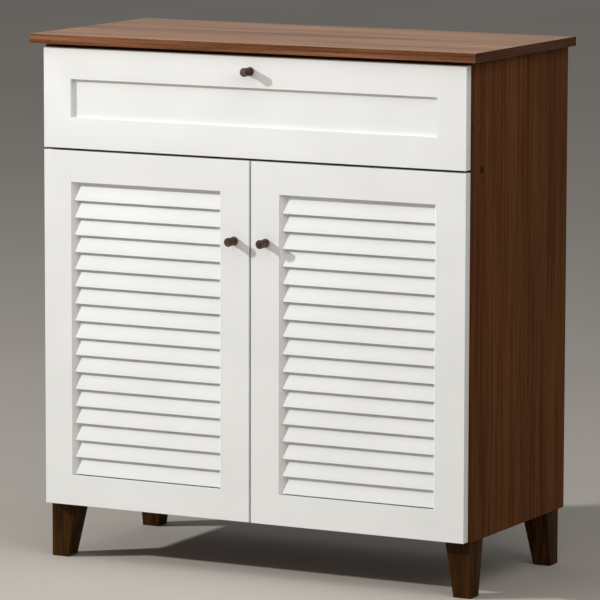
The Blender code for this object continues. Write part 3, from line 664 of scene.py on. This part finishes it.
def slat_tree():
    """Geometry nodes for a stack of leaning slats: a rounded outline drawn out to its length."""
    tree = bpy.data.node_groups.new("louvre_slats", "GeometryNodeTree")
    for name, kind in (("Length", "Float"), ("Height", "Float"), ("Thickness", "Float"),
                       ("Lean", "Float"), ("Edge", "Float"), ("Count", "Int"),
                       ("Pitch", "Vector"), ("Start", "Vector"), ("Material", "Material")):
        tree.interface.new_socket(name, in_out="INPUT", socket_type="NodeSocket" + kind)
    tree.interface.new_socket("Geometry", in_out="OUTPUT", socket_type="NodeSocketGeometry")
    given = add(tree, "NodeGroupInput").outputs
    outline = add(tree, "GeometryNodeCurvePrimitiveQuadrilateral",
                  {"Width": given["Thickness"], "Height": given["Height"],
                   "Offset": given["Lean"]}, mode="PARALLELOGRAM")
    rounded = add(tree, "GeometryNodeFilletCurve", {"Curve": outline, "Radius": given["Edge"],
                                                    "Count": CORNER_STEPS}, mode="POLY")
    reach = add(tree, "ShaderNodeCombineXYZ", {"Z": given["Length"]})
    spine = add(tree, "GeometryNodeCurvePrimitiveLine", {"End": reach})
    drawn = add(tree, "GeometryNodeCurveToMesh", {"Curve": spine, "Profile Curve": rounded,
                                                  "Fill Caps": True})
    level = add(tree, "GeometryNodeTransform", {"Geometry": drawn,
                                                "Rotation": (math.pi / 2, 0, math.pi / 2)})
    rise = add(tree, "GeometryNodeMeshLine", {"Count": given["Count"],
                                              "Start Location": given["Start"],
                                              "Offset": given["Pitch"]})
    stack = add(tree, "GeometryNodeInstanceOnPoints", {"Points": rise, "Instance": level})
    solid = add(tree, "GeometryNodeRealizeInstances", {"Geometry": stack})
    painted = add(tree, "GeometryNodeSetMaterial", {"Geometry": solid,
                                                    "Material": given["Material"]})
    add(tree, "NodeGroupOutput", {"Geometry": painted})
    return tree


SLAT_STACK = slat_tree()
lean = SLAT_HEIGHT * math.tan(SLAT_SLOPE)
for side, sign in SIDES:
    node = side + "_door_louvre_panel"
    low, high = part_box(node)
    grip = SLAT_SETBACK / 2
    pitch = (high.z - low.z - SLAT_BOTTOM_GAP - SLAT_HEIGHT) / (SLATS - 1)
    start = (low.x + grip, low.y + SLAT_SETBACK + (SLAT_THICKNESS + lean) / 2,
             low.z + SLAT_BOTTOM_GAP + SLAT_HEIGHT / 2)
    slats = make_piece(side + "_door_slats", bmesh.new())
    run_nodes(slats, SLAT_STACK, Length=high.x - low.x - 2 * grip, Height=SLAT_HEIGHT,
              Thickness=SLAT_THICKNESS, Lean=lean, Edge=SLAT_EDGE, Count=SLATS,
              Pitch=(0, 0, pitch), Start=start, Material=lacquer)
    slats.data.shade_smooth()
    slats.data.set_sharp_from_angle(angle=SHARP_ANGLE)
    settle(slats, side + "_door", "white_paint", node)
    for end, edge_x, inward, slope in (("left", low.x, 1, LEFT_CHEEK),
                                       ("right", high.x, -1, RIGHT_CHEEK)):
        cheek = bmesh.new()
        outline = ((edge_x, low.y), (edge_x + inward * slope, low.y + slope),
                   (edge_x + inward * slope, high.y), (edge_x, high.y))
        base = cheek.faces.new([cheek.verts.new((x, y, low.z)) for x, y in outline])
        risen = bmesh.ops.extrude_face_region(cheek, geom=[base])["geom"]
        bmesh.ops.translate(cheek, vec=(0, 0, high.z - low.z),
                            verts=[v for v in risen if isinstance(v, bmesh.types.BMVert)])
        bmesh.ops.recalc_face_normals(cheek, faces=cheek.faces)
        strip = eased(make_piece(f"{side}_door_{end}_cheek", cheek, lacquer), CHEEK_EDGE)
        settle(strip, side + "_door", "white_paint")


# ---- Concealed hinges --------------------------------------------------------------------------
# Nickel-plated steel: a cup let into the back of the door and screwed through its two tabs, and an
# arm over a plate that is screwed to the side panel.

HINGE_SCREW_RADIUS = 0.0031
HINGE_SCREW_RISE = 0.0011
TAB_SCREW_OUT = 0.0200       # a tab's screw above or below the cup's centre
PLATE_SCREW_OUT = 0.0180     # a plate's screw above or below the arm
ADJUSTER_BACK = 0.0150       # the adjusting screw in front of the arm's rear end
PLATE_FROM_FRONT = 0.045     # a plate's screws behind the arm's front end
PLATE_SEAT = 0.0024          # where they seat, out from the side panel
HINGE_PLATE = 0.0026
ARM_DEPTH = 0.0105           # the arm's ridge, out from its plate
HEAD_SUNK = 0.0002           # how far a screw head beds into the steel
CUP_EDGE = 0.0003
ARM_EDGE = 0.0008

for side, sign in SIDES:
    for level in ("lower", "upper"):
        cup = f"{side}_{level}_hinge_cup"
        settle(eased(make_piece(cup + "_bowl", copy_of(cup), pressed_steel), CUP_EDGE),
               side + "_door", "plated_steel", cup)
        low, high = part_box(cup)
        middle = (low + high) / 2
        screw_row(f"{side}_{level}_cup_screws", side + "_door",
                  Vector((middle.x, high.y - HEAD_SUNK, middle.z - TAB_SCREW_OUT)), (0, 1, 0),
                  HINGE_SCREW_RADIUS, HINGE_SCREW_RISE, 2, (0, 0, 2 * TAB_SCREW_OUT))
        arm = f"{side}_{level}_hinge_arm"
        settle(eased(make_piece(arm + "_channel", copy_of(arm), pressed_steel), ARM_EDGE, 3),
               "carcass", "plated_steel", arm)
        low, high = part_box(arm)
        middle_z = (low.z + high.z) / 2
        wall_x = high.x if sign > 0 else low.x
        plate_y = low.y + PLATE_FROM_FRONT
        screw_row(f"{side}_{level}_plate_screws", "carcass",
                  Vector((wall_x - sign * PLATE_SEAT, plate_y, middle_z - PLATE_SCREW_OUT)),
                  (-sign, 0, 0), HINGE_SCREW_RADIUS, HINGE_SCREW_RISE, 2,
                  (0, 0, 2 * PLATE_SCREW_OUT))
        ridge_x = wall_x - sign * (HINGE_PLATE + ARM_DEPTH - HEAD_SUNK)
        screw_row(f"{side}_{level}_adjusters", "carcass",
                  Vector((ridge_x, high.y - ADJUSTER_BACK, middle_z)), (-sign, 0, 0),
                  HINGE_SCREW_RADIUS, HINGE_SCREW_RISE, 2, (0, -2 * ADJUSTER_BACK, 0))


# ---- Knobs and their screws --------------------------------------------------------------------
# Three small knobs turned from beech, stained dark and left nearly matt: a short cylinder with a
# slight waist and a softened front edge.  A screw from behind holds each one.

KNOB_EDGE = 0.0010
KNOB_BACK_EDGE = 0.0008
KNOB_WAIST = 0.0008
WAIST_STEPS = 8
EDGE_STEPS = 6               # steps round the softened front edge
FACE_RING = 0.6              # a ring of corners on the flat front, in a share of the radius
SHANK_EDGE = 0.0004
knob_wood = stained_wood("stained_beech_knob", "Y", "#3E302A", "#57463E", "#6C5A51", 0.5)


def turned(outline, centre, steps=56):
    """A lathe-turned bmesh along -Y: outline is (radius, distance) from the front to the back."""
    work = bmesh.new()
    rings = []
    for radius, along in outline:
        count = steps if radius > 0 else 1
        rings.append([work.verts.new((centre.x + radius * math.cos(2 * math.pi * i / steps),
                                      centre.y - along,
                                      centre.z + radius * math.sin(2 * math.pi * i / steps)))
                      for i in range(count)])
    for first, second in zip(rings, rings[1:]):
        for i in range(steps):
            j = (i + 1) % steps
            corners = [first[i % len(first)], second[i % len(second)], second[j % len(second)],
                       first[j % len(first)]]
            work.faces.new(list(dict.fromkeys(corners)))
    work.normal_update()
    bmesh.ops.recalc_face_normals(work, faces=work.faces)
    return work


for name, body in (("drawer", "drawer"), ("left_door", "left_door"), ("right_door", "right_door")):
    node = name + "_knob"
    low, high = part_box(node)
    radius = (high.z - low.z) / 2
    length = high.y - low.y
    base = Vector(((low.x + high.x) / 2, high.y, (low.z + high.z) / 2))
    outline = [(0.0, length), (radius * FACE_RING, length)]
    outline += [(radius - KNOB_EDGE * (1 - math.sin(a)), length - KNOB_EDGE * (1 - math.cos(a)))
                for a in (math.radians(90 * k / EDGE_STEPS) for k in range(EDGE_STEPS + 1))]
    straight = length - KNOB_EDGE - KNOB_BACK_EDGE
    outline += [(radius - KNOB_WAIST * math.sin(math.pi * k / WAIST_STEPS) ** 2,
                 length - KNOB_EDGE - straight * k / WAIST_STEPS)
                for k in range(1, WAIST_STEPS + 1)]
    outline += [(radius - KNOB_BACK_EDGE, 0.0), (0.0, 0.0)]
    settle(make_piece(node + "_turning", turned(outline, base), knob_wood), body, "dark_wood",
           node)
    screw = name + "_knob_screw"
    settle(eased(make_piece(screw + "_shank", copy_of(screw), screw_steel), SHANK_EDGE), body,
           "plated_steel", screw)


# ---- Studio ------------------------------------------------------------------------------------
# A plain pale floor and soft light: one lamp from the front left that casts the knobs' shadows, a
# broad one above the front, a faint one from the right, and an even surround.  The cabinet is seen
# from well off to its right and a little above its top, through a long lens.

EYE = Vector((3.3687, -6.4715, 1.4450))
EYE_TURN = math.radians(27.50)
EYE_DOWN = math.radians(7.90)
EYE_ROLL = 0.0023
LENS_MM = 271.0
SENSOR_MM = 36.0
VIEW_END = 200.0
FLOOR_HALF = 60.0
LAMP_AIM = Vector((0, 0, 0.45))
HORIZON_GLOW = 0.37
ZENITH_GLOW = 0.20
ZENITH_FROM = 0.45           # the rise at which the surround reaches its upper glow

floor_finish, tree, shader = new_finish("pale_studio_floor", Roughness=0.8)
floor_tone = add(tree, "ShaderNodeValToRGB", {"Fac": speckle(tree, 900, 2.0)},
                 stops=[(0.3, "#BDB7AE"), (0.7, "#C3BDB4")])
tree.links.new(floor_tone.outputs[0], shader.inputs["Base Color"])
work = bmesh.new()
bmesh.ops.create_grid(work, x_segments=1, y_segments=1, size=FLOOR_HALF)
floor = make_piece("floor", work, floor_finish)

world = bpy.data.worlds.new("studio")
bpy.context.scene.world = world
world.use_nodes = True
sky = world.node_tree
height = add(sky, "ShaderNodeSeparateXYZ", {"Vector": add(sky, "ShaderNodeTexCoord")})
glow = add(sky, "ShaderNodeValToRGB", {"Fac": height.outputs["Z"]},
           stops=[(0.0, HORIZON_GLOW), (ZENITH_FROM, ZENITH_GLOW)])
sky.links.new(glow.outputs[0], sky.nodes["Background"].inputs["Color"])


def lamp(name, toward, distance, power, colour, size):
    """A square soft light in the direction `toward` from the cabinet's middle, and facing it."""
    light = bpy.data.lights.new(name, "AREA")
    light.energy = power
    light.color = colour
    light.size = size
    holder = bpy.data.objects.new(name, light)
    direction = Vector(toward).normalized()
    holder.location = LAMP_AIM + direction * distance
    holder.rotation_euler = (-direction).to_track_quat("-Z", "Y").to_euler()
    bpy.context.scene.collection.objects.link(holder)


lamp("key", (-0.74, -0.52, 0.42), 6.3, 295.0, (1.0, 0.995, 0.98), size=0.28)
lamp("overhead", (-0.20, -0.62, 1.10), 1.35, 4.4, (1.0, 1.0, 0.99), size=1.0)
lamp("fill", (0.85, -0.50, 0.80), 2.4, 18.0, (1.0, 0.97, 0.93), size=1.6)

camera = bpy.data.objects.new("camera", bpy.data.cameras.new("camera"))
camera.data.lens = LENS_MM
camera.data.sensor_width = SENSOR_MM
camera.data.clip_end = VIEW_END
camera.matrix_world = (Matrix.Translation(EYE) @ Matrix.Rotation(EYE_TURN, 4, "Z")
                       @ Matrix.Rotation(math.pi / 2 - EYE_DOWN, 4, "X")
                       @ Matrix.Rotation(EYE_ROLL, 4, "Z"))
bpy.context.scene.collection.objects.link(camera)
bpy.context.scene.camera = camera
bpy.context.scene.view_settings.view_transform = "Standard"
